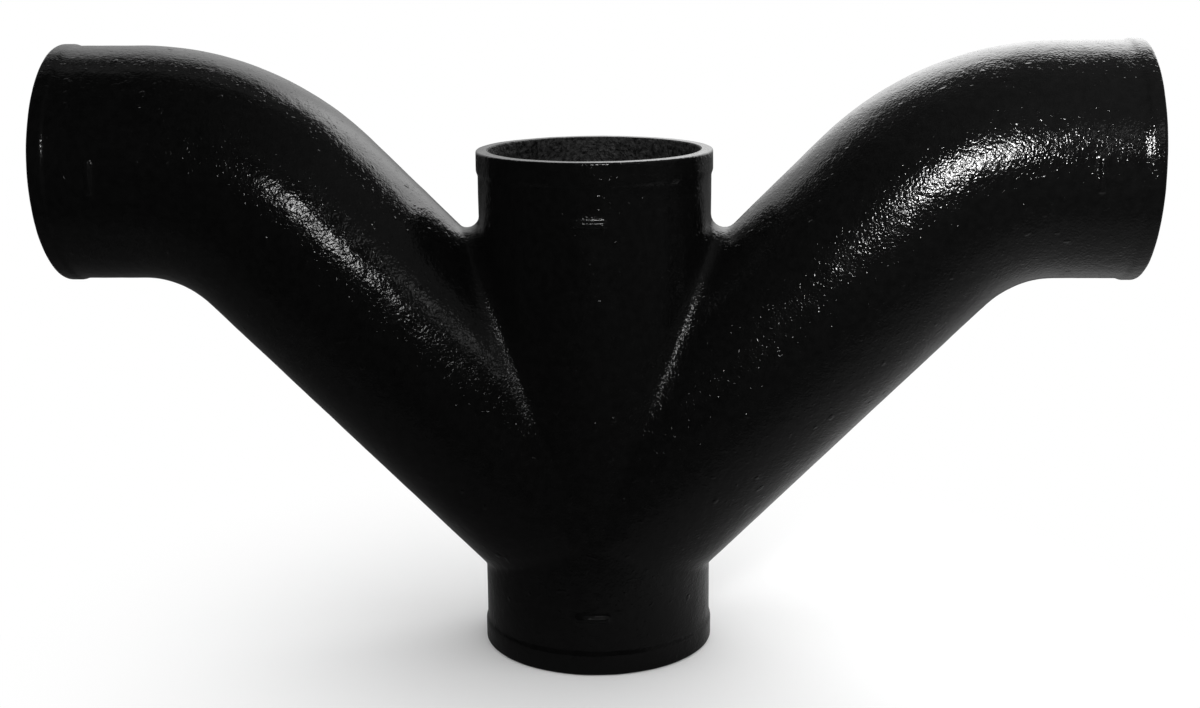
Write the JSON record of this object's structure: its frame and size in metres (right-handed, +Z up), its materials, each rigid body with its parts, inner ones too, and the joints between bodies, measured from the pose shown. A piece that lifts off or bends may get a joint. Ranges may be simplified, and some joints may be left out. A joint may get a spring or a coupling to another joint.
{
  "type": "double combination wye pipe fitting",
  "caption": "Hubless cast-iron soil pipe fitting: a straight run with two opposite sweeping branches that turn level, beaded plain ends and black coating.",
  "frame": {"origin": "centre of the run's lower end face", "axes": "+Z up the run, +X along the right arm, +Y to the back"},
  "size_m": [0.507, 0.1134, 0.2941],
  "materials": {
    "coated_iron": "glossy black bituminous coating over a rough cast surface"
  },
  "bodies": {
    "root": {"double_combination_wye": "coated_iron"}
  },
  "joints": []
}
